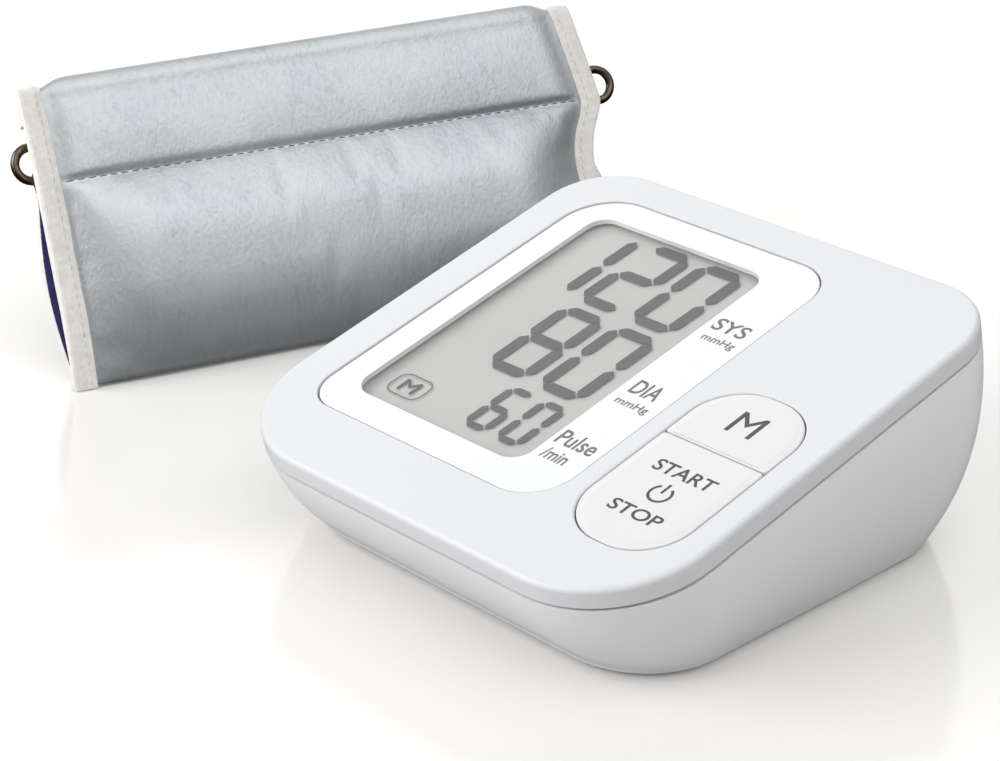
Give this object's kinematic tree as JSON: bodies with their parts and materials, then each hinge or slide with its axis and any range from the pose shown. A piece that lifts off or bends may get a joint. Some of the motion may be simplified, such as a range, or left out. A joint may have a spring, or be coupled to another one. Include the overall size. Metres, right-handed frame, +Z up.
{
  "type": "upper arm blood pressure monitor",
  "caption": "Wedge-shaped desktop blood pressure monitor with a sloping display and two buttons, beside its folded fabric arm cuff with a steel ring.",
  "frame": {"origin": "centre of the unit's footprint, on the surface that it stands on", "axes": "+X to the user's right, +Y away from the user, +Z up; the front plate faces -Y and up"},
  "size_m": [0.2288, 0.1775, 0.0664],
  "materials": {
    "upper_case": "fine matt moulding",
    "lower_case": "fine matt moulding",
    "display_panel": "glossy moulding",
    "lcd_glass": "anti-glare glass",
    "lcd_holder": "fine matt moulding",
    "lcd_contact_strip": "matt rubber",
    "main_board": "fine matt moulding",
    "processor": "fine matt moulding",
    "buzzer": "fine matt moulding",
    "memory_button": "fine matt moulding",
    "start_stop_button": "fine matt moulding",
    "memory_switch": "fine matt moulding",
    "start_stop_switch": "fine matt moulding",
    "memory_plunger": "fine matt moulding",
    "start_stop_plunger": "fine matt moulding",
    "battery_cover": "fine matt moulding",
    "cell_1": "printed foil sleeve",
    "cell_2": "printed foil sleeve",
    "cell_3": "printed foil sleeve",
    "cell_4": "printed foil sleeve",
    "contact_plus": "plain bright metal",
    "contact_minus": "plain bright metal",
    "contact_link_1": "plain bright metal",
    "contact_link_2": "plain bright metal",
    "contact_link_3": "plain bright metal",
    "foot_front_left": "matt rubber",
    "foot_front_right": "matt rubber",
    "foot_back_left": "matt rubber",
    "foot_back_right": "matt rubber",
    "case_screws": "plain bright metal",
    "board_screws": "plain bright metal",
    "air_socket": "fine matt moulding",
    "socket_seal": "matt rubber",
    "air_manifold": "fine matt moulding",
    "pressure_sensor": "fine matt moulding",
    "socket_tube": "matt rubber",
    "valve_tube": "matt rubber",
    "pump_tube": "matt rubber",
    "sensor_tube": "matt rubber",
    "pump_motor": "plain bright metal",
    "pump_head": "fine matt moulding",
    "pump_rotor": "plain bright metal",
    "pump_cradle": "matt rubber",
    "exhaust_valve": "fine matt moulding",
    "valve_plunger": "plain bright metal",
    "cuff_panel": "brushed woven nylon",
    "cuff_bladder": "matt rubber",
    "cuff_lining": "brushed woven nylon",
    "cuff_tape_left": "brushed woven nylon",
    "cuff_tape_right": "brushed woven nylon",
    "cuff_fold": "brushed woven nylon",
    "cuff_fold_tape_left": "brushed woven nylon",
    "cuff_fold_tape_right": "brushed woven nylon",
    "cuff_ring": "dark bright metal",
    "cuff_flap": "brushed woven nylon",
    "cuff_hook_pad": "brushed woven nylon",
    "cuff_loop_pad": "brushed woven nylon",
    "cuff_air_port": "fine matt moulding"
  },
  "bodies": {
    "unit": {"upper_case": "upper_case", "lower_case": "lower_case", "display_panel": "display_panel", "lcd_glass": "lcd_glass", "lcd_holder": "lcd_holder", "lcd_contact_strip": "lcd_contact_strip", "main_board": "main_board", "processor": "processor", "buzzer": "buzzer", "memory_switch": "memory_switch", "start_stop_switch": "start_stop_switch", "cell_1": "cell_1", "cell_2": "cell_2", "cell_3": "cell_3", "cell_4": "cell_4", "contact_plus": "contact_plus", "contact_minus": "contact_minus", "contact_link_1": "contact_link_1", "contact_link_2": "contact_link_2", "contact_link_3": "contact_link_3", "foot_front_left": "foot_front_left", "foot_front_right": "foot_front_right", "foot_back_left": "foot_back_left", "foot_back_right": "foot_back_right", "case_screws": "case_screws", "board_screws": "board_screws", "air_socket": "air_socket", "socket_seal": "socket_seal", "air_manifold": "air_manifold", "pressure_sensor": "pressure_sensor", "socket_tube": "socket_tube", "valve_tube": "valve_tube", "pump_tube": "pump_tube", "sensor_tube": "sensor_tube", "pump_motor": "pump_motor", "pump_head": "pump_head", "pump_cradle": "pump_cradle", "exhaust_valve": "exhaust_valve"},
    "memory_button": {"memory_button": "memory_button", "memory_plunger": "memory_plunger"},
    "start_stop_button": {"start_stop_button": "start_stop_button", "start_stop_plunger": "start_stop_plunger"},
    "battery_cover": {"battery_cover": "battery_cover"},
    "pump_rotor": {"pump_rotor": "pump_rotor"},
    "valve_plunger": {"valve_plunger": "valve_plunger"},
    "cuff": {"cuff_panel": "cuff_panel", "cuff_bladder": "cuff_bladder", "cuff_lining": "cuff_lining", "cuff_tape_left": "cuff_tape_left", "cuff_tape_right": "cuff_tape_right", "cuff_fold": "cuff_fold", "cuff_fold_tape_left": "cuff_fold_tape_left", "cuff_fold_tape_right": "cuff_fold_tape_right", "cuff_loop_pad": "cuff_loop_pad", "cuff_air_port": "cuff_air_port"},
    "cuff_ring": {"cuff_ring": "cuff_ring"},
    "cuff_flap": {"cuff_flap": "cuff_flap", "cuff_hook_pad": "cuff_hook_pad"}
  },
  "joints": [
    {"name": "memory_press", "type": "slide", "parent": "unit", "child": "memory_button", "axis": [0, 0.2385, -0.9711], "range_m": [0, 0.0006], "stiffness_N_per_m": 2500, "springref_m": -0.0004},
    {"name": "start_stop_press", "type": "slide", "parent": "unit", "child": "start_stop_button", "axis": [0, 0.2385, -0.9711], "range_m": [0, 0.0006], "stiffness_N_per_m": 2500, "springref_m": -0.0004},
    {"name": "battery_cover_slide", "type": "slide", "parent": "unit", "child": "battery_cover", "axis": [0, 1, 0], "range_m": [0, 0.006]},
    {"name": "pump_spin", "type": "hinge", "parent": "unit", "child": "pump_rotor", "pos_m": [0.036, 0, 0.0154], "axis": [0, 1, 0], "continuous": true},
    {"name": "valve_close", "type": "slide", "parent": "unit", "child": "valve_plunger", "axis": [-1, 0, 0], "range_m": [0, 0.0008], "stiffness_N_per_m": 1000, "springref_m": -0.0003},
    {"name": "cuff_lift", "type": "slide", "parent": "unit", "child": "cuff", "axis": [0, 0, 1], "range_m": [0, 0.12]},
    {"name": "ring_swing", "type": "hinge", "parent": "cuff", "child": "cuff_ring", "pos_m": [-0.13829, 0.03103, 0.04497], "axis": [0.309, 0.9511, 0], "range_deg": [-4, 18]},
    {"name": "flap_open", "type": "hinge", "parent": "cuff", "child": "cuff_flap", "pos_m": [-0.14421, 0.03505, 0.05564], "axis": [0.309, 0.9511, 0], "range_deg": [-5, 70]}
  ]
}
